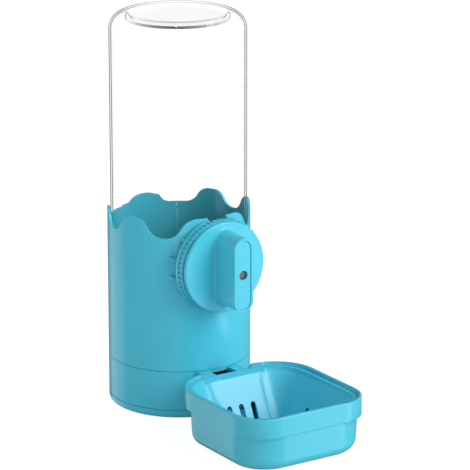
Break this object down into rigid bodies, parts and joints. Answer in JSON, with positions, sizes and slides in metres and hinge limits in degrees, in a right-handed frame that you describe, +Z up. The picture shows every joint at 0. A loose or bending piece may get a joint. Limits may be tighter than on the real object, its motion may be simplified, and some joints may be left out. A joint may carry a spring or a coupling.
{
  "type": "cage water dispenser",
  "caption": "Gravity water dispenser for a small-animal cage: clear inverted bottle in a wavy-rimmed sleeve on a cup that feeds a square bowl, with a clamp knob.",
  "frame": {"origin": "on the table under the bottle's axis, at the centre of the base's underside", "axes": "+Z up along the bottle's axis; -Y towards the knob and the bowl; +X to the right seen from the bowl's side"},
  "size_m": [0.094, 0.2048, 0.2616],
  "materials": {
    "clear_bottle": "clear gloss",
    "cyan_cap": "gloss",
    "cap_seal_rubber": "matt",
    "valve_plastic": "satin",
    "valve_rubber": "matt",
    "spring_wire": "satin",
    "retainer_plastic": "satin",
    "cyan_sleeve": "gloss",
    "bolt_steel": "satin",
    "cyan_ring": "gloss",
    "cyan_knob": "gloss",
    "nut_steel": "satin",
    "cyan_cover": "gloss",
    "cyan_base": "gloss",
    "spout_rubber": "matt",
    "cyan_bowl": "gloss",
    "cyan_liner": "gloss"
  },
  "bodies": {
    "base_cup": {"base": "cyan_base", "spout_seal": "spout_rubber"},
    "bowl_tray": {"bowl": "cyan_bowl", "bowl_liner": "cyan_liner"},
    "housing": {"sleeve": "cyan_sleeve", "bottle": "clear_bottle", "bottle_cap": "cyan_cap", "cap_seal": "cap_seal_rubber", "spring_retainer": "retainer_plastic", "valve_spring": "spring_wire", "clamp_bolt": "bolt_steel"},
    "valve": {"valve_stem": "valve_plastic", "valve_seal": "valve_rubber"},
    "pressure_ring": {"toothed_ring": "cyan_ring"},
    "clamp_knob": {"knob": "cyan_knob", "knob_nut": "nut_steel", "grip_cover": "cyan_cover"}
  },
  "joints": [
    {"name": "sleeve_twist", "type": "hinge", "parent": "base_cup", "child": "housing", "pos_m": [0, 0, 0.0368], "axis": [0, 0, 1], "range_deg": [0, 15]},
    {"name": "bowl_pull", "type": "slide", "parent": "base_cup", "child": "bowl_tray", "axis": [0, -1, 0], "range_m": [0, 0.012]},
    {"name": "valve_lift", "type": "slide", "parent": "housing", "child": "valve", "axis": [0, 0, 1], "range_m": [0, 0.0015], "stiffness_N_per_m": 80, "springref_m": -0.004, "deforming": ["valve_spring"]},
    {"name": "clamp_travel", "type": "slide", "parent": "housing", "child": "pressure_ring", "axis": [0, -1, 0], "range_m": [0, 0.00801]},
    {"name": "knob_turn", "type": "hinge", "parent": "pressure_ring", "child": "clamp_knob", "pos_m": [0, -0.06, 0.1033], "axis": [0, -1, 0], "range_deg": [0, 3600]}
  ],
  "couplings": [
    {"joint": "clamp_travel", "follows": "knob_turn", "m_per_rad": 0.00012732}
  ]
}
